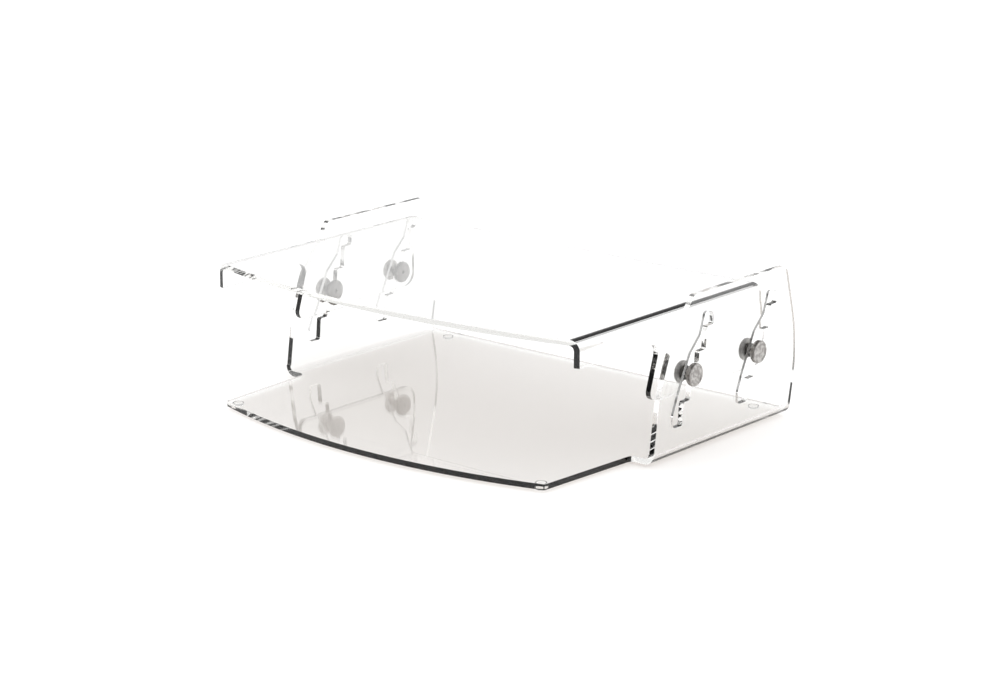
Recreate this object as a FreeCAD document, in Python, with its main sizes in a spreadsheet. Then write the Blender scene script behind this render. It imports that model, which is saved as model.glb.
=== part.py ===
import FreeCAD, Part
import math
import os
import Sketcher

# Two-tier desk stand of bent clear sheet, in millimetres.
# Row frame: X to the right, Y to the back, Z up, origin under the middle of the stand.
# The pieces are drawn from the datum: X in the middle, Y where the uprights meet the
# floor at the front, Z at the underside of the floor.

dimensions = {
    # both bent sheets
    "sheetThickness": 4.76,
    "bendRadius": 4.0,
    # base tray: floor and two uprights
    "baseHalfWidth": 203.0,
    "uprightTop": 130.8,
    "uprightDepth": 190.0,
    "uprightBulge": 5.0,
    "floorHalfWidth": 181.0,
    "floorFrontHalfWidth": 174.6,
    "floorReach": 101.4,
    "floorArcRise": 27.1,
    # upper shelf: deck, side flanges and two legs
    "shelfHalfWidth": 195.6,
    "shelfTop": 120.1,
    "shelfReach": 85.5,
    "shelfArcRise": 26.0,
    "shelfBack": 150.8,
    "flangeBottom": 98.0,
    "legBottom": 51.0,
    # bolts, and the five notches of each slot
    "boltFront": 48.5,
    "boltHeight": 66.0,
    "boltSpacing": 88.6,
    "boltDiameter": 4.8,
    "boltHoleDiameter": 5.2,
    "stepRun": 10.0,
    "stepRise": 19.0,
    "notchDepth": 8.5,
    "notchGap": 0.3,
    # hardware
    "headDiameter": 19.0,
    "headThickness": 3.4,
    "socketWidth": 3.0,
    "socketDepth": 1.8,
    "knobDiameter": 19.0,
    "knobThickness": 4.2,
    "knobBoreDepth": 3.2,
    "threadGap": 0.05,
    "rimRadius": 0.6,
    "spacerDiameter": 12.0,
    "washerDiameter": 13.0,
    "washerThickness": 0.8,
    "slideGap": 0.3,
    "knobGap": 0.15,
    # bumper feet
    "footDiameter": 9.5,
    "footHeight": 2.5,
    "footRimRadius": 1.6,
    "footFrontHalfSpan": 166.5,
    "footRearHalfSpan": 170.6,
    "footFront": 96.0,
    "footBack": 179.6,
}

notchSteps = range(-2, 3)
sides = {"left": -1, "right": 1}
rows = {"front": 0, "rear": 1}

document = FreeCAD.newDocument("desk_stand")
sheet = document.addObject("Spreadsheet::Sheet", "Sizes")


def fillSheet():
    for row, (name, value) in enumerate(dimensions.items(), start=1):
        sheet.set(f"A{row}", name)
        sheet.set(f"B{row}", str(value))
        sheet.setAlias(f"B{row}", name)
    document.recompute()


def size(name):
    return float(sheet.get(name))


def newBody(name, lateral="0", depth="0", height="0", turned=False):
    """A body whose datum is moved from the stand's datum by three expressions."""
    body = document.addObject("PartDesign::Body", name)
    body.Label = name
    if turned:
        body.Placement.Rotation = FreeCAD.Rotation(FreeCAD.Vector(0, 0, 1), 180)
    middle = "(Sizes.floorReach + Sizes.floorArcRise - Sizes.uprightDepth - Sizes.uprightBulge) / 2"
    body.setExpression("Placement.Base.x", lateral)
    body.setExpression("Placement.Base.y", f"{middle} + {depth}")
    body.setExpression("Placement.Base.z", f"Sizes.footHeight + {height}")
    return body


def newSketch(body, plane, name, offset="0"):
    sketch = body.newObject("Sketcher::SketchObject", name)
    support = [item for item in body.Origin.OriginFeatures if item.Role == plane][0]
    sketch.AttachmentSupport = [(support, "")]
    sketch.MapMode = "FlatFace"
    sketch.setExpression("AttachmentOffset.Base.z", offset)
    return sketch


def roundedCorner(before, corner, after, radius):
    """Start, middle and end of the arc that rounds one corner of an outline."""
    towards = (before - corner).normalize()
    away = (after - corner).normalize()
    half = towards.getAngle(away) / 2
    run = radius / math.tan(half)
    bisector = (towards + away).normalize()
    middle = corner + bisector * (radius / math.sin(half) - radius)
    return corner + towards * run, middle, corner + away * run


def drawOutline(sketch, corners):
    """A closed loop of straight lines through (u, v, radius) corners, rounded by tangent arcs."""
    points = [FreeCAD.Vector(corner[0], corner[1], 0) for corner in corners]
    radii = [corner[2] if len(corner) > 2 else 0 for corner in corners]
    pieces = []
    starts = []
    ends = []
    for index, point in enumerate(points):
        if radii[index] == 0:
            starts.append(point)
            ends.append(point)
            pieces.append(None)
            continue
        following = points[(index + 1) % len(points)]
        start, middle, end = roundedCorner(points[index - 1], point, following, radii[index])
        starts.append(start)
        ends.append(end)
        pieces.append(Part.Arc(start, middle, end))
    loop = []
    for index, arc in enumerate(pieces):
        if arc:
            loop.append(arc)
        nextStart = starts[(index + 1) % len(points)]
        if ends[index].distanceToPoint(nextStart) > 1e-6:
            loop.append(Part.LineSegment(ends[index], nextStart))
    first = sketch.GeometryCount
    sketch.addGeometry(loop, False)
    sketch.addConstraint([
        Sketcher.Constraint("Block", first + index) for index in range(len(loop))
    ])


def shallowArc(halfChord, rise):
    """How far past its chord the tangents of a shallow arc meet, and the arc's radius."""
    radius = (halfChord ** 2 + rise ** 2) / (2 * rise)
    return halfChord * math.tan(math.asin(halfChord / radius)), radius


def padSketch(body, sketch, forward, backward="0"):
    """Pads along the sketch's normal by one expression and against it by another."""
    pad = body.newObject("PartDesign::Pad", sketch.Name + "Pad")
    pad.Profile = sketch
    pad.SideType = "One side" if backward == "0" else "Two sides"
    pad.setExpression("Length", forward)
    if backward != "0":
        pad.setExpression("Length2", backward)
    document.recompute()
    return pad


def cutThrough(body, sketch):
    """Pockets a sketch through the whole body both ways."""
    before = body.Shape.Volume
    pocket = body.newObject("PartDesign::Pocket", sketch.Name + "Cut")
    pocket.Profile = sketch
    pocket.SideType = "Symmetric"
    pocket.Type = "ThroughAll"
    document.recompute()
    if not 0 < body.Shape.Volume < before:
        raise RuntimeError(f"{sketch.Name} cuts nothing from {body.Label}")
    return pocket


def cutBlind(body, sketch, depth):
    """Pockets a sketch against its own normal."""
    before = body.Shape.Volume
    pocket = body.newObject("PartDesign::Pocket", sketch.Name + "Cut")
    pocket.Profile = sketch
    pocket.setExpression("Length", depth)
    document.recompute()
    if not 0 < body.Shape.Volume < before:
        raise RuntimeError(f"{sketch.Name} cuts nothing from {body.Label}")
    return pocket


def drawCircle(sketch, radius, across=None, up=None):
    """A circle with its radius, and its centre if it is off the origin, bound to the sheet."""
    circle = sketch.GeometryCount
    sketch.addGeometry(Part.Circle(FreeCAD.Vector(50, 50, 0), FreeCAD.Vector(0, 0, 1), 3), False)
    bindings = [("Radius", (circle,), radius)]
    if across is None:
        sketch.addConstraint(Sketcher.Constraint("Coincident", circle, 3, -1, 1))
    else:
        bindings.append(("DistanceX", (-1, 1, circle, 3), across))
        bindings.append(("DistanceY", (-1, 1, circle, 3), up))
    for kind, places, expression in bindings:
        number = sketch.addConstraint(Sketcher.Constraint(kind, *places, 50.0))
        sketch.setExpression(f"Constraints[{number}]", expression)


def padDisc(body, name, radius, start, length):
    sketch = newSketch(body, "YZ_Plane", name, start)
    drawCircle(sketch, radius)
    return padSketch(body, sketch, length)


def boreDisc(body, name, radius, start, depth):
    """A round hole from the plane at start, going along -X of the body."""
    sketch = newSketch(body, "YZ_Plane", name, start)
    drawCircle(sketch, radius)
    return cutBlind(body, sketch, depth)


def roundRims(body, feature, rimDiameter, radius):
    """Rounds every circular edge of one diameter."""
    names = []
    for index, edge in enumerate(feature.Shape.Edges, start=1):
        if isinstance(edge.Curve, Part.Circle) and abs(edge.Curve.Radius * 2 - rimDiameter) < 1e-6:
            names.append(f"Edge{index}")
    fillet = body.newObject("PartDesign::Fillet", feature.Name + "Rim")
    fillet.Base = (feature, names)
    fillet.setExpression("Radius", radius)
    document.recompute()
    return fillet


def bentSection(halfWidth, bendLevel, endLevel):
    """The U of a sheet bent at both sides: bends at one level, open ends at the other."""
    inward = math.copysign(size("sheetThickness"), endLevel - bendLevel)
    outerRadius = size("bendRadius") + size("sheetThickness")
    innerHalf = halfWidth - size("sheetThickness")
    return [
        (-halfWidth, endLevel),
        (-halfWidth, bendLevel, outerRadius),
        (halfWidth, bendLevel, outerRadius),
        (halfWidth, endLevel),
        (innerHalf, endLevel),
        (innerHalf, bendLevel + inward, size("bendRadius")),
        (-innerHalf, bendLevel + inward, size("bendRadius")),
        (-innerHalf, endLevel),
    ]


def frontTrim(halfWidth, reach, arcRise, outline):
    """What is cut off ahead of a sheet's front edge: a shallow arc between two front corners."""
    tangentMeet, arcRadius = shallowArc(halfWidth, arcRise)
    right = outline + [(halfWidth, -reach)]
    left = [(-corner[0],) + tuple(corner[1:]) for corner in reversed(right)]
    farFront = -reach - 2 * arcRise
    farSide = size("baseHalfWidth") + 10
    return [
        (-farSide, farFront),
        (farSide, farFront),
        (farSide, right[0][1]),
        *right,
        (0, -reach - tangentMeet, arcRadius),
        *left,
        (-farSide, right[0][1]),
    ]


def slotOutline(rowShift):
    """One notched slot: a smooth front edge, and a stair of five treads at the back."""
    boltRadius = size("boltDiameter") / 2
    run = size("stepRun")
    rise = size("stepRise")
    treadDrop = boltRadius + size("notchGap")
    nosing = 1.0
    nosingRadius = 2.0
    notchRadius = 2.2
    across = size("boltFront") + rowShift
    level = size("boltHeight")
    corners = []
    for step in notchSteps:
        tread = level + step * rise - treadDrop
        noseAt = across + step * run + nosing
        if step > notchSteps[0]:
            corners.append((noseAt, tread, nosingRadius))
        corners.append((noseAt + size("notchDepth"), tread, notchRadius))
    top = across + 2 * run
    frontEdge = [
        (top + 10.2, level + 45.5, 4.5),
        (top - 1.5, level + 48.5, 3.6),
        (top - 6.0, level + 35.0, 5.0),
        (top - 8.0, level + 29.5, 3.0),
        (top - 21.0, level + 17.0, 5.0),
        (top - 36.5, level - 14.0, 12.0),
        (top - 43.2, level - 30.0, 8.0),
        (top - 43.2, level - 2 * rise - treadDrop, 3.2),
    ]
    return corners + frontEdge


def makeBaseTray():
    body = newBody("base_tray")
    top = size("uprightTop")
    depth = size("uprightDepth")
    farTop = top + 12
    section = newSketch(body, "XZ_Plane", "TraySection")
    drawOutline(section, bentSection(size("baseHalfWidth"), 0, farTop))
    padSketch(
        body,
        section,
        "Sizes.floorReach + Sizes.floorArcRise + 10",
        "Sizes.uprightDepth + Sizes.uprightBulge + 10",
    )
    uprightEdge = newSketch(body, "YZ_Plane", "UprightEdge")
    farFront = -size("floorReach") - 60
    farBack = depth + 40
    drawOutline(uprightEdge, [
        (farFront, 9.0),
        (0.8, 9.0),
        (7.0, 54.0, 80.0),
        (19.5, 87.0, 50.0),
        (51.0, top, 5.0),
        (depth - 9.5, top, 9.0),
        (depth + 9.8, 59.0, 145.0),
        (depth, 8.0, 15.0),
        (depth, -8.0),
        (farBack, -8.0),
        (farBack, farTop + 5),
        (farFront, farTop + 5),
    ])
    cutThrough(body, uprightEdge)
    floorEdge = newSketch(body, "XY_Plane", "FloorEdge")
    drawOutline(floorEdge, frontTrim(
        size("floorFrontHalfWidth"),
        size("floorReach"),
        size("floorArcRise"),
        [(size("floorHalfWidth"), 0.0, 5.0)],
    ))
    cutThrough(body, floorEdge)
    slots = newSketch(body, "YZ_Plane", "HeightSlots")
    for row in rows.values():
        drawOutline(slots, slotOutline(row * size("boltSpacing")))
    cutThrough(body, slots)
    return body


def makeUpperShelf():
    body = newBody("upper_shelf")
    top = size("shelfTop")
    back = size("shelfBack")
    flange = size("flangeBottom")
    foot = size("legBottom")
    section = newSketch(body, "XZ_Plane", "ShelfSection")
    drawOutline(section, bentSection(size("shelfHalfWidth"), top, foot - 20))
    padSketch(
        body,
        section,
        "Sizes.shelfReach + Sizes.shelfArcRise + 10",
        "Sizes.shelfBack + 20",
    )
    legEdge = newSketch(body, "YZ_Plane", "LegEdge")
    farFront = -size("shelfReach") - 60
    drawOutline(legEdge, [
        (farFront, flange),
        (17.3, flange, 9.0),
        (2.3, foot, 7.0),
        (back + 5, foot, 12.0),
        (back + 5, foot + 30, 60.0),
        (back, top - 12, 60.0),
        (back, top + 20),
        (back + 40, top + 20),
        (back + 40, foot - 30),
        (farFront, foot - 30),
    ])
    cutThrough(body, legEdge)
    deckEdge = newSketch(body, "XY_Plane", "DeckEdge")
    drawOutline(deckEdge, frontTrim(
        size("shelfHalfWidth"), size("shelfReach"), size("shelfArcRise"), [],
    ))
    cutThrough(body, deckEdge)
    holes = newSketch(body, "YZ_Plane", "BoltHoles")
    for row in rows.values():
        across = f"Sizes.boltFront + {row} * Sizes.boltSpacing"
        drawCircle(holes, "Sizes.boltHoleDiameter / 2", across, "Sizes.boltHeight")
    cutThrough(body, holes)
    return body


def hardwareBody(side, row, kind):
    """A body on one bolt's axis, with its +X outwards from the leg's outer face."""
    lateral = f"{sides[side]} * Sizes.shelfHalfWidth"
    depth = f"Sizes.boltFront + {rows[row]} * Sizes.boltSpacing"
    return newBody(f"{side}_{row}_{kind}", lateral, depth, "Sizes.boltHeight", side == "left")


# Places along a bolt, outwards from the leg's outer face.
uprightInner = "(Sizes.baseHalfWidth - Sizes.sheetThickness - Sizes.shelfHalfWidth)"
uprightOuter = "(Sizes.baseHalfWidth - Sizes.shelfHalfWidth)"
washerStart = f"({uprightOuter} + Sizes.slideGap)"
knobStart = f"({washerStart} + Sizes.washerThickness + Sizes.knobGap)"
knobEnd = f"({knobStart} + Sizes.knobThickness)"


def makeBolt(side, row):
    body = hardwareBody(side, row, "bolt")
    headStart = "(-Sizes.sheetThickness - Sizes.headThickness)"
    head = padDisc(body, "Head", "Sizes.headDiameter / 2", headStart, "Sizes.headThickness")
    roundRims(body, head, size("headDiameter"), "Sizes.rimRadius")
    shankStart = "(-Sizes.sheetThickness)"
    shankLength = f"Sizes.sheetThickness + {knobStart} + Sizes.knobBoreDepth - Sizes.slideGap"
    padDisc(body, "Shank", "Sizes.boltDiameter / 2", shankStart, shankLength)
    socket = newSketch(body, "YZ_Plane", "Socket", f"{headStart} + Sizes.socketDepth")
    corner = size("socketWidth") / math.sqrt(3)
    drawOutline(socket, [
        (corner * math.cos(math.radians(60 * turn)), corner * math.sin(math.radians(60 * turn)))
        for turn in range(6)
    ])
    cutBlind(body, socket, "Sizes.socketDepth")
    return body


def makeKnob(side, row):
    body = hardwareBody(side, row, "knob")
    disc = padDisc(body, "Disc", "Sizes.knobDiameter / 2", knobStart, "Sizes.knobThickness")
    roundRims(body, disc, size("knobDiameter"), "Sizes.rimRadius")
    boreRadius = "Sizes.boltDiameter / 2 + Sizes.threadGap"
    boreDisc(body, "Bore", boreRadius, f"{knobStart} + Sizes.knobBoreDepth", "Sizes.knobBoreDepth")
    return body


def makeRing(side, row, kind, start, thickness, diameter):
    body = hardwareBody(side, row, kind)
    padDisc(body, "Ring", f"Sizes.{diameter} / 2", start, thickness)
    hole = newSketch(body, "YZ_Plane", "RingHole", start)
    drawCircle(hole, "Sizes.boltHoleDiameter / 2")
    cutThrough(body, hole)
    return body


def makeFoot(side, row):
    places = {"front": "-Sizes.footFront", "rear": "Sizes.footBack"}
    lateral = f"{sides[side]} * Sizes.foot{row.title()}HalfSpan"
    body = newBody(f"{side}_{row}_foot", lateral, places[row], "-Sizes.footHeight")
    sketch = newSketch(body, "XY_Plane", "Pad")
    drawCircle(sketch, "Sizes.footDiameter / 2")
    pad = padSketch(body, sketch, "Sizes.footHeight")
    rims = []
    for index, edge in enumerate(pad.Shape.Edges, start=1):
        if edge.BoundBox.ZMax < size("footHeight") / 2:
            rims.append(f"Edge{index}")
    fillet = body.newObject("PartDesign::Fillet", "FootRim")
    fillet.Base = (pad, rims)
    fillet.setExpression("Radius", "Sizes.footRimRadius")
    document.recompute()
    return body


def checkDocument(bodies):
    for item in document.Objects:
        if "Invalid" in item.State or "Error" in item.State:
            raise RuntimeError(f"{item.Label} is {item.State}")
    for body in bodies:
        if body.Shape.isNull() or not body.Shape.isValid():
            raise RuntimeError(f"{body.Label} has no valid shape")
        if len(body.Shape.Solids) != 1:
            raise RuntimeError(f"{body.Label} has {len(body.Shape.Solids)} solids")


def main():
    fillSheet()
    bodies = [makeBaseTray(), makeUpperShelf()]
    spacerThickness = f"{uprightInner} - Sizes.slideGap"
    for side in sides:
        for row in rows:
            bodies.append(makeBolt(side, row))
            bodies.append(makeKnob(side, row))
            bodies.append(makeRing(side, row, "spacer", "0", spacerThickness, "spacerDiameter"))
            bodies.append(makeRing(
                side, row, "washer", washerStart, "Sizes.washerThickness", "washerDiameter",
            ))
            bodies.append(makeFoot(side, row))
    document.recompute()
    checkDocument(bodies)
    os.makedirs("parts", exist_ok=True)
    for body in bodies:
        body.Shape.exportStep(f"parts/{body.Label}.step")
        box = body.Shape.BoundBox
        print(
            f"{body.Label}: X {box.XMin:.2f} to {box.XMax:.2f},"
            f" Y {box.YMin:.2f} to {box.YMax:.2f}, Z {box.ZMin:.2f} to {box.ZMax:.2f},"
            f" volume {body.Shape.Volume:.0f}"
        )


main()
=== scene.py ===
import math

import bmesh
import bpy
from mathutils import Matrix, Vector


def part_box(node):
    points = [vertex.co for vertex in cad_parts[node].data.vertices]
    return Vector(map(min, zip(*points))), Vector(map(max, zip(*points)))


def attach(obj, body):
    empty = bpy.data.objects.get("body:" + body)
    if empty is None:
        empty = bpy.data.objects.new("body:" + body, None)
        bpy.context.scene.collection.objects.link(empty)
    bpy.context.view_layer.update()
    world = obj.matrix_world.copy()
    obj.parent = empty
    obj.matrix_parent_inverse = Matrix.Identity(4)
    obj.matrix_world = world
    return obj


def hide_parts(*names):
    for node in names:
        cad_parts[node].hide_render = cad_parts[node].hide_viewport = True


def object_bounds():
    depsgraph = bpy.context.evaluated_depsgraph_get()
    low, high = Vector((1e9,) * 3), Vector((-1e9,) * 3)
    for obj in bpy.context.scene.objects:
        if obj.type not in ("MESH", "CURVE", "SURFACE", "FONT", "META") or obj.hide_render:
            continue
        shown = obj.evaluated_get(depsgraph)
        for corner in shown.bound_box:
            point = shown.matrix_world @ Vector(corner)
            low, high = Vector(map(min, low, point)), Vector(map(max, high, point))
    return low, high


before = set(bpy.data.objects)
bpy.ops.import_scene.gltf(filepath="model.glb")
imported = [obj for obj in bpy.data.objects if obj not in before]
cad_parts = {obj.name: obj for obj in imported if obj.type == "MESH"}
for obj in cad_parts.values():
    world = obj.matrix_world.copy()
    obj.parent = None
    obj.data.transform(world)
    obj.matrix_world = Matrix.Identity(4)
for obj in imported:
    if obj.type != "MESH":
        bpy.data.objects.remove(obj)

cadLow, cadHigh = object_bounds()
cadCentre = (cadLow + cadHigh) / 2
mm = 0.001
sides = {"left": -1, "right": 1}
rows = ("front", "rear")
corners = [(side, row) for side in sides for row in rows]
print("frame loaded:", len(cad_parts), "nodes")


class Wire:
    # a socket that can be used in a Python expression: each operator adds a Math node
    def __init__(self, tree, socket):
        self.tree = tree
        self.socket = socket

    def math(self, operation, *values):
        settings = {"operation": operation}
        return self.tree.add("ShaderNodeMath", settings, dict(enumerate(values)))

    def __add__(self, other):
        return self.math("ADD", self, other)

    __radd__ = __add__

    def __sub__(self, other):
        return self.math("SUBTRACT", self, other)

    def __rsub__(self, other):
        return self.math("SUBTRACT", other, self)

    def __mul__(self, other):
        return self.math("MULTIPLY", self, other)

    __rmul__ = __mul__

    def __pow__(self, other):
        return self.math("POWER", self, other)

    def __lt__(self, other):
        return self.math("LESS_THAN", self, other)

    def __gt__(self, other):
        return self.math("GREATER_THAN", self, other)

    def __abs__(self):
        return self.math("ABSOLUTE", self)

    def larger(self, other):
        return self.math("MAXIMUM", self, other)

    def fade(self, start, end):
        # 0 before start, 1 after end, smooth between
        settings = {"interpolation_type": "SMOOTHSTEP"}
        return self.tree.add("ShaderNodeMapRange", settings, {0: self, 1: start, 2: end})


class Tree:
    # a material's or the world's nodes
    def __init__(self, owner):
        owner.use_nodes = True
        self.nodes = owner.node_tree.nodes
        self.links = owner.node_tree.links
        self.nodes.clear()

    def add(self, kind, settings=None, sockets=None, output=0):
        # settings first, then the sockets' values or links; gives back one output
        node = self.nodes.new(kind)
        for name, value in (settings or {}).items():
            setattr(node, name, value)
        for name, value in (sockets or {}).items():
            if isinstance(value, Wire):
                self.links.new(value.socket, node.inputs[name])
            else:
                node.inputs[name].default_value = value
        return Wire(self, node.outputs[output]) if len(node.outputs) else None

    def split(self, vector):
        # the three numbers of a vector
        first = self.add("ShaderNodeSeparateXYZ", None, {0: vector})
        node = first.socket.node
        return [Wire(self, node.outputs[axis]) for axis in range(3)]

    def mixColour(self, factor, first, second):
        made = self.add("ShaderNodeMix", {"data_type": "RGBA"}, {"Factor": factor}, 2)
        for socket, value in zip((6, 7), (first, second)):
            if isinstance(value, Wire):
                self.links.new(value.socket, made.socket.node.inputs[socket])
            else:
                made.socket.node.inputs[socket].default_value = (*value, 1)
        return made


def newMaterial(name):
    material = bpy.data.materials.new(name)
    return material, Tree(material)


acrylic = {
    "tint": (0.985, 0.985, 0.98, 1),
    "absorbed": (0.80, 0.79, 0.75, 1),
    "absorption": 1.6,        # per metre
    "ior": 1.49,
    "faceRoughness": 0.004,
    "smudgeRoughness": 0.02,
    "smudgeScale": 14,
    "smudgeFade": (0.52, 0.75),
    "edgeRoughness": 0.05,
    "striationSize": 0.00045, # spacing of the cutter's marks
    "striationBump": 0.07,
    "striationDepth": 0.05 * mm,
    "bend": 8.76 * mm,        # outer radius of the bends
    "faceShare": 0.5,         # a normal with less than this square to the sheet is a cut edge's
    "endShare": 0.3,          # and so is one with more than this along Y, in a bend too
    "shadowTint": (0.858, 0.843, 0.830, 1),
}


def cutEdgeMask(tree, sheet):
    # 1 on the cut edges of a bent sheet, 0 on its faces and bends
    place = tree.add("ShaderNodeTexCoord", None, None, 3)
    x, y, z = tree.split(place)
    normal = tree.add("ShaderNodeNewGeometry", None, None, 3)
    across, along, up = tree.split(normal)
    inFlat = abs(x) < sheet["halfWidth"] - acrylic["bend"]
    if sheet["standsUp"]:
        inSide = z > sheet["low"] + acrylic["bend"]
    else:
        inSide = z < sheet["high"] - acrylic["bend"]
    flatEdge = inFlat * (abs(up) < acrylic["faceShare"])
    sideEdge = inSide * (abs(across) < acrylic["faceShare"])
    return (abs(along) > acrylic["endShare"]).larger(flatEdge).larger(sideEdge)


def footContact(tree):
    # 1 where a bumper foot is stuck to the underside of the tray, on either side of the stand
    place = tree.add("ShaderNodeTexCoord", None, None, 3)
    x, y, z = tree.split(place)
    contact = None
    for row in rows:
        low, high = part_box(f"right_{row}_foot")
        middle = (low + high) / 2
        inside = (abs(x) - middle.x) ** 2 + (y - middle.y) ** 2 < ((high.x - low.x) / 2) ** 2
        contact = contact.larger(inside) if contact else inside
    return contact * (abs(z - high.z) < bumper["contactGap"])


def makeAcrylic(name, sheet):
    material, tree = newMaterial(name)
    edge = cutEdgeMask(tree, sheet)
    place = tree.add("ShaderNodeTexCoord", None, None, 3)
    smudge = tree.add("ShaderNodeTexNoise", None, {
        "Vector": place, "Scale": acrylic["smudgeScale"], "Detail": 5, "Roughness": 0.6,
    })
    smudged = smudge.fade(*acrylic["smudgeFade"])
    face = acrylic["faceRoughness"] + acrylic["smudgeRoughness"] * smudged
    # the cutter leaves fine lines through the thickness, seen along the edge
    lines = tree.add("ShaderNodeTexNoise", None, {
        "Vector": place, "Scale": 1 / acrylic["striationSize"], "Detail": 2,
    })
    roughness = face + edge * (acrylic["edgeRoughness"] * lines)
    bump = tree.add("ShaderNodeBump", None, {
        "Strength": acrylic["striationBump"],
        "Distance": acrylic["striationDepth"],
        "Height": lines * edge,
    })
    glass = tree.add("ShaderNodeBsdfPrincipled", None, {
        "Base Color": acrylic["tint"],
        "Roughness": roughness,
        "IOR": acrylic["ior"],
        "Transmission Weight": 1.0,
        "Normal": bump,
    })
    return finishClear(material, tree, glass, acrylic)


def finishClear(material, tree, glass, finish):
    # bounced light passes straight through, so the floor under the sheet stays bright,
    # and nothing bends or reflects where a foot is stuck on
    lightPath = tree.add("ShaderNodeLightPath").socket.node
    passing = Wire(tree, lightPath.outputs["Is Shadow Ray"])
    passing = passing.larger(Wire(tree, lightPath.outputs["Is Diffuse Ray"]))
    stuck = footContact(tree)
    clear = tree.add("ShaderNodeBsdfTransparent", None, {"Color": finish["shadowTint"]})
    surface = tree.add("ShaderNodeMixShader", None, {0: passing, 1: glass, 2: clear})
    through = tree.add("ShaderNodeBsdfTransparent")
    surface = tree.add("ShaderNodeMixShader", None, {0: stuck, 1: surface, 2: through})
    absorption = tree.add("ShaderNodeVolumeAbsorption", None, {
        "Color": finish["absorbed"], "Density": finish["absorption"],
    })
    tree.add("ShaderNodeOutputMaterial", None, {"Surface": surface, "Volume": absorption})
    return material


def useMaterial(piece, material):
    piece.data.materials.clear()
    piece.data.materials.append(material)


def makeSheets():
    for name, standsUp in (("base_tray", True), ("upper_shelf", False)):
        low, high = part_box(name)
        sheet = {"halfWidth": high.x, "standsUp": standsUp, "low": low.z, "high": high.z}
        useMaterial(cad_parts[name], makeAcrylic(name + "_acrylic", sheet))


metal = {
    "colour": (0.30, 0.284, 0.273),
    "wornColour": (0.53, 0.512, 0.495),
    "nutShade": 1.0,
    "studShade": 0.62,        # painted shade: darkens both colours of the studs' heads, which sit between the legs
    "roughness": 0.30,
    "grainRoughness": 0.10,
    "grainScale": 900,
    "ringRoughness": 0.03,
    "ringSize": 0.35 * mm,    # spacing of the turning marks
    "ringHeight": 0.5,        # beside the grain's height of 1
    "patchScale": 420,
    "patchFade": (0.38, 0.62),
    "bumpStrength": 0.35,
    "bumpDepth": 0.02 * mm,
}


def makeMetal(name, centre, paintedShade):
    # satin turned metal, its rings centred on one bolt's axis
    material, tree = newMaterial(name)
    place = tree.add("ShaderNodeTexCoord", None, None, 3)
    x, y, z = tree.split(place)
    radius = ((y - centre.y) ** 2 + (z - centre.z) ** 2) ** 0.5
    phase = radius * (2 * math.pi / metal["ringSize"])
    rings = phase.math("SINE", phase)
    grain, patches = [
        tree.add("ShaderNodeTexNoise", None, {"Vector": place, "Scale": scale, "Detail": 4})
        for scale in (metal["grainScale"], metal["patchScale"])
    ]
    # painted shade: both colours are darkened by this factor, below 1 only for the studs' heads
    dark, light = [
        tuple(paintedShade * value for value in metal[key]) for key in ("colour", "wornColour")
    ]
    colour = tree.mixColour(patches.fade(*metal["patchFade"]), dark, light)
    roughness = metal["roughness"] + metal["grainRoughness"] * (grain - 0.5)
    roughness = roughness + metal["ringRoughness"] * rings
    bump = tree.add("ShaderNodeBump", None, {
        "Strength": metal["bumpStrength"],
        "Distance": metal["bumpDepth"],
        "Height": rings * metal["ringHeight"] + grain,
    })
    shader = tree.add("ShaderNodeBsdfPrincipled", None, {
        "Base Color": colour, "Metallic": 1.0, "Roughness": roughness, "Normal": bump,
    })
    tree.add("ShaderNodeOutputMaterial", None, {"Surface": shader})
    return material


toothShape = (1.0, 0.72, 0.0, 0.72)     # how high the points of one knurled tooth stand
knob = {
    "teeth": 52,
    "knurlDepth": 0.48 * mm,
    "chamfer": 0.55 * mm,
    "lip": 0.1 * mm,          # half the width of the small bevel round each face
    "lipDepth": 0.12 * mm,
    "recessRadius": 7.2 * mm,
    "recessSlope": 0.2 * mm,
    "recessDepth": 0.25 * mm,
    "boreRadius": 2.45 * mm,
    "boreDepth": 3.2 * mm,
    "boreChamfer": 0.3 * mm,
    "pole": 0.02 * mm,        # radius of the small face that closes a mesh on its axis
    "sharpAngle": math.radians(35),
}


def addRing(mesh, level, radii):
    # a closed ring of vertices at one place along X, one radius for each
    count = len(radii)
    return [
        mesh.verts.new((
            level,
            radius * math.cos(2 * math.pi * index / count),
            radius * math.sin(2 * math.pi * index / count),
        ))
        for index, radius in enumerate(radii)
    ]


def joinRings(mesh, rings):
    for first, second in zip(rings, rings[1:]):
        for index in range(len(first)):
            following = (index + 1) % len(first)
            mesh.faces.new((first[index], second[index], second[following], first[following]))


def knurled(radius):
    # radii of a straight-knurled rim
    return [radius - knob["knurlDepth"] * (1 - share) for share in toothShape * knob["teeth"]]


def plain(radius):
    return [radius] * len(toothShape) * knob["teeth"]


def finishMesh(mesh, name):
    bmesh.ops.remove_doubles(mesh, verts=mesh.verts, dist=0.0001 * mm)
    bmesh.ops.recalc_face_normals(mesh, faces=mesh.faces)
    data = bpy.data.meshes.new(name)
    mesh.to_mesh(data)
    mesh.free()
    data.shade_smooth()
    data.set_sharp_from_angle(angle=knob["sharpAngle"])
    piece = bpy.data.objects.new(name, data)
    bpy.context.scene.collection.objects.link(piece)
    return piece


def rimRings(mesh, radius, thick):
    # the outside of a knurled disc, from its face at 0 to its face at thick
    inner = radius - knob["chamfer"]
    profile = (
        (0, plain(inner - knob["lip"])),
        (knob["lipDepth"], plain(inner + knob["lip"])),
        (knob["chamfer"], knurled(radius)),
        (thick - knob["chamfer"], knurled(radius)),
        (thick - knob["lipDepth"], plain(inner + knob["lip"])),
        (thick, plain(inner - knob["lip"])),
    )
    return [addRing(mesh, level, radii) for level, radii in profile]


def closeRings(mesh, rings):
    joinRings(mesh, rings)
    mesh.faces.new(rings[0])
    mesh.faces.new(rings[-1])


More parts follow.
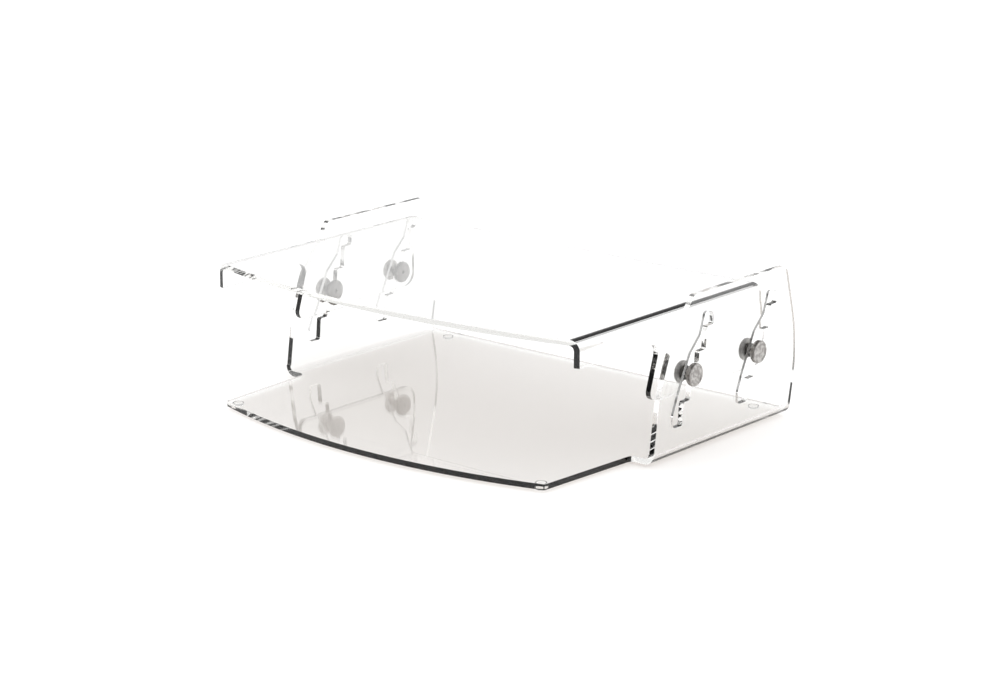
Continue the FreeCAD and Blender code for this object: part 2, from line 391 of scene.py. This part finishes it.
def makeNut(name, low, high, outward):
    # a knurled disc with a blind bore, and a shallow recess in its outer face
    thick = high.x - low.x
    bore = knob["boreRadius"]
    mesh = bmesh.new()
    inside = (
        (knob["boreDepth"], knob["pole"]),
        (knob["boreDepth"], bore),
        (knob["boreChamfer"], bore),
        (0, bore + knob["boreChamfer"]),
    )
    recess = (
        (thick, knob["recessRadius"] + knob["recessSlope"]),
        (thick - knob["recessDepth"], knob["recessRadius"]),
        (thick - knob["recessDepth"], knob["pole"]),
    )
    rings = [addRing(mesh, level, plain(radius)) for level, radius in inside]
    rings += rimRings(mesh, (high.y - low.y) / 2, thick)
    rings += [addRing(mesh, level, plain(radius)) for level, radius in recess]
    closeRings(mesh, rings)
    moveInto(mesh, low, high, outward)
    return finishMesh(mesh, name)


def moveInto(mesh, low, high, outward):
    # from a build along +X at the origin to the CAD node's own place
    start = low.x if outward > 0 else high.x
    middle = (low + high) / 2
    turn = Matrix.Identity(4) if outward > 0 else Matrix.Rotation(math.pi, 4, "Z")
    matrix = Matrix.Translation((start, middle.y, middle.z)) @ turn
    bmesh.ops.transform(mesh, matrix=matrix, verts=mesh.verts)


bolt = {
    "headThickness": 3.4 * mm,
    "shankRadius": 2.4 * mm,
    "pitch": 1.06 * mm,
    "threadDepth": 0.42 * mm,
    "taper": 0.1,             # how much slimmer the thread gets over its last turn
    "bluntTip": 0.15,         # how much of that turn is cut off
    "socketWidth": 3.0 * mm,
    "socketDepth": 1.8 * mm,
    "socketChamfer": 0.15 * mm,
    "overlap": 0.3 * mm,      # how far the thread reaches into the head
    "around": 48,
    "perPitch": 8,
}


def addHead(mesh, radius):
    # the disc head with its hexagon socket, whose open face looks along -X
    count = len(toothShape) * knob["teeth"]
    thick = bolt["headThickness"]
    hexagon = []
    for index in range(count):
        angle = (2 * math.pi * index / count) % (math.pi / 3) - math.pi / 6
        hexagon.append(bolt["socketWidth"] / 2 / math.cos(angle))
    chamfered = [reach + bolt["socketChamfer"] for reach in hexagon]
    rings = [
        addRing(mesh, bolt["socketDepth"], plain(knob["pole"])),
        addRing(mesh, bolt["socketDepth"], hexagon),
        addRing(mesh, bolt["socketChamfer"], hexagon),
        addRing(mesh, 0, chamfered),
        *rimRings(mesh, radius, thick),
        addRing(mesh, thick, plain(knob["pole"])),
    ]
    closeRings(mesh, rings)


def addThread(mesh, start, end):
    # a real helical thread: rings whose radius follows the angle and the pitch
    around = bolt["around"]
    steps = round((end - start) / bolt["pitch"] * bolt["perPitch"])
    rings = []
    for step in range(steps + 1):
        level = start + (end - start) * step / steps
        fullness = min(1, (end - level) / bolt["pitch"] + bolt["bluntTip"])
        slimming = 1 - bolt["taper"] * (1 - fullness)
        radii = []
        for index in range(around):
            turn = (level / bolt["pitch"] - index / around) % 1
            depth = bolt["threadDepth"] * abs(2 * turn - 1)
            radii.append((bolt["shankRadius"] - depth) * slimming)
        rings.append(addRing(mesh, level, radii))
    closeRings(mesh, rings)


def makeBolt(name, low, high, outward):
    mesh = bmesh.new()
    addHead(mesh, (high.y - low.y) / 2)
    addThread(mesh, bolt["headThickness"] - bolt["overlap"], high.x - low.x)
    moveInto(mesh, low, high, outward)
    return finishMesh(mesh, name)


def makeHardware():
    for side, row in corners:
        outward = sides[side]
        low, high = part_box(f"{side}_{row}_knob")
        centre = (low + high) / 2
        nut = makeNut(f"{side}_{row}_thumb_nut", low, high, outward)
        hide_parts(f"{side}_{row}_knob")
        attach(nut, f"{side}_{row}_knob")
        low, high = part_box(f"{side}_{row}_bolt")
        stud = makeBolt(f"{side}_{row}_socket_stud", low, high, outward)
        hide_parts(f"{side}_{row}_bolt")
        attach(stud, "shelf")
        for piece, kind in ((nut, "nut"), (stud, "stud")):
            # painted shade: the studs get a darker copy of the nuts' metal
            paintedShade = metal[kind + "Shade"]
            useMaterial(piece, makeMetal(f"{side}_{row}_{kind}_metal", centre, paintedShade))


washer = {
    "edgeRadius": 0.12 * mm,
    "sharpAngle": math.radians(40),
    "flatAngle": math.radians(0.4),
    "weldGap": 0.002 * mm,
    "tint": (0.97, 0.97, 0.965, 1),
    "absorbed": (0.8, 0.8, 0.78, 1),
    "absorption": 20,         # per metre
    "ior": 1.47,
    "roughness": 0.12,
    "grainScale": 700,
    "grainRoughness": 0.08,
    "grainBump": 0.2,
    "grainDepth": 0.04 * mm,
    "shadowTint": (0.93, 0.93, 0.925, 1),
}
bumper = {
    "tint": (0.98, 0.98, 0.975, 1),
    "absorbed": (0.8, 0.8, 0.78, 1),
    "absorption": 4,          # per metre
    "ior": 1.49,
    "roughness": 0.0,
    "grainScale": 700,
    "grainRoughness": 0.08,
    "grainBump": 0.2,
    "grainDepth": 0.04 * mm,
    "shadowTint": (0.985, 0.985, 0.98, 1),
    "contactGap": 0.05 * mm,  # how near the foot's top a point counts as stuck to it
}


def easeEdges(piece):
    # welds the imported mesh, dissolves its flat triangles and eases its sharp edges
    weld = piece.modifiers.new("weld", "WELD")
    weld.merge_threshold = washer["weldGap"]
    flatten = piece.modifiers.new("flatten", "DECIMATE")
    flatten.decimate_type = "DISSOLVE"
    flatten.angle_limit = washer["flatAngle"]
    ease = piece.modifiers.new("ease", "BEVEL")
    ease.width = washer["edgeRadius"]
    ease.segments = 2
    ease.limit_method = "ANGLE"
    ease.angle_limit = washer["sharpAngle"]
    ease.harden_normals = True


def makeSoftClear(name, finish):
    material, tree = newMaterial(name)
    place = tree.add("ShaderNodeTexCoord", None, None, 3)
    grain = tree.add("ShaderNodeTexNoise", None, {
        "Vector": place, "Scale": finish["grainScale"], "Detail": 3,
    })
    bump = tree.add("ShaderNodeBump", None, {
        "Strength": finish["grainBump"], "Distance": finish["grainDepth"], "Height": grain,
    })
    glass = tree.add("ShaderNodeBsdfPrincipled", None, {
        "Base Color": finish["tint"],
        "Roughness": finish["roughness"] + finish["grainRoughness"] * (grain - 0.5),
        "IOR": finish["ior"],
        "Transmission Weight": 1.0,
        "Normal": bump,
    })
    return finishClear(material, tree, glass, finish)


def makeSmallParts():
    washerMaterial = makeSoftClear("clear_washer_plastic", washer)
    bumperMaterial = makeSoftClear("clear_bumper_rubber", bumper)
    for side, row in corners:
        for kind in ("spacer", "washer", "foot"):
            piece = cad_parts[f"{side}_{row}_{kind}"]
            useMaterial(piece, bumperMaterial if kind == "foot" else washerMaterial)
            if kind != "foot":
                easeEdges(piece)


stage = {
    "floorSize": 14.0,
    "floorGap": 0.1 * mm,     # between the feet and the floor
    "floorColour": (0.93, 0.93, 0.93, 1),
    "backdrop": 1.22,         # brightness of the white sweep behind the stand
    "overhead": 2.1,          # of the soft light above
    "ceiling": 0.60,          # of what polished surfaces reflect from above
    "room": 0.02,             # of the dark room on the open side
    "sweepFade": (-0.30, -0.05),        # where the room turns into the sweep
    "overheadFade": (0.4, 0.65),        # how high the soft light starts
    "ceilingFade": (0.36, 0.5),
    "bounces": 24,
    "innerBounces": 13,       # how often light turns back inside a sheet before it is lost
}
cameraView = {
    "azimuth": 40.18,
    "elevation": 15.57,
    "lens": 100.61,
    "sensor": 36,
    "distance": 2.3688,       # from the aim, in metres
    "aimFromCentre": (0.0005, 0.0174, -0.0112),
}


def makeFloor():
    data = bpy.data.meshes.new("floor")
    half = stage["floorSize"] / 2
    level = cadLow.z - stage["floorGap"]
    corner = [(-half, -half), (half, -half), (half, half), (-half, half)]
    data.from_pydata([(x, y, level) for x, y in corner], [], [(0, 1, 2, 3)])
    floor = bpy.data.objects.new("floor", data)
    bpy.context.scene.collection.objects.link(floor)
    material, tree = newMaterial("pale_floor")
    shader = tree.add("ShaderNodeBsdfDiffuse", None, {"Color": stage["floorColour"]})
    tree.add("ShaderNodeOutputMaterial", None, {"Surface": shader})
    useMaterial(floor, material)


def makeWorld():
    # a white sweep behind, a soft light above, and a dark room on the side that the stand
    # faces; polished surfaces reflect a dim ceiling, so that their edges stay dark
    world = bpy.data.worlds.new("studio")
    bpy.context.scene.world = world
    tree = Tree(world)
    direction = tree.add("ShaderNodeTexCoord", None, None, 0)
    x, y, z = tree.split(direction)
    angle = math.radians(cameraView["azimuth"])
    away = y * math.cos(angle) - x * math.sin(angle)
    backdrop, overhead, ceiling, room = [
        stage[key] for key in ("backdrop", "overhead", "ceiling", "room")
    ]
    sweep = away.fade(*stage["sweepFade"]) * (backdrop - room) + room
    lightPath = tree.add("ShaderNodeLightPath").socket.node
    mirrored = Wire(tree, lightPath.outputs["Is Glossy Ray"])
    lighting = sweep.larger(z.fade(*stage["overheadFade"]) * overhead)
    reflected = (sweep - z.fade(*stage["ceilingFade"]) * (backdrop - ceiling)).larger(room)
    amount = lighting + mirrored * (reflected - lighting)
    amount = amount.larger(Wire(tree, lightPath.outputs["Is Camera Ray"]))
    shader = tree.add("ShaderNodeBackground", None, {"Strength": amount})
    tree.add("ShaderNodeOutputWorld", None, {"Surface": shader})


def makeCamera():
    data = bpy.data.cameras.new("camera")
    data.lens = cameraView["lens"]
    data.sensor_width = cameraView["sensor"]
    camera = bpy.data.objects.new("camera", data)
    bpy.context.scene.collection.objects.link(camera)
    azimuth = math.radians(cameraView["azimuth"])
    elevation = math.radians(cameraView["elevation"])
    back = Vector((
        math.sin(azimuth) * math.cos(elevation),
        -math.cos(azimuth) * math.cos(elevation),
        math.sin(elevation),
    ))
    target = cadCentre + Vector(cameraView["aimFromCentre"])
    camera.location = target + back * cameraView["distance"]
    camera.rotation_euler = (-back).to_track_quat("-Z", "Y").to_euler()
    bpy.context.scene.camera = camera


def makeStage():
    makeFloor()
    makeWorld()
    makeCamera()
    scene = bpy.context.scene
    scene.view_settings.view_transform = "Standard"
    for kind in ("max_bounces", "transmission_bounces", "transparent_max_bounces"):
        setattr(scene.cycles, kind, stage["bounces"])
    scene.cycles.glossy_bounces = stage["innerBounces"]


makeStage()
print("stage ready")
makeSheets()
print("sheets finished")
makeHardware()
print("hardware made")
makeSmallParts()
print("small parts finished")
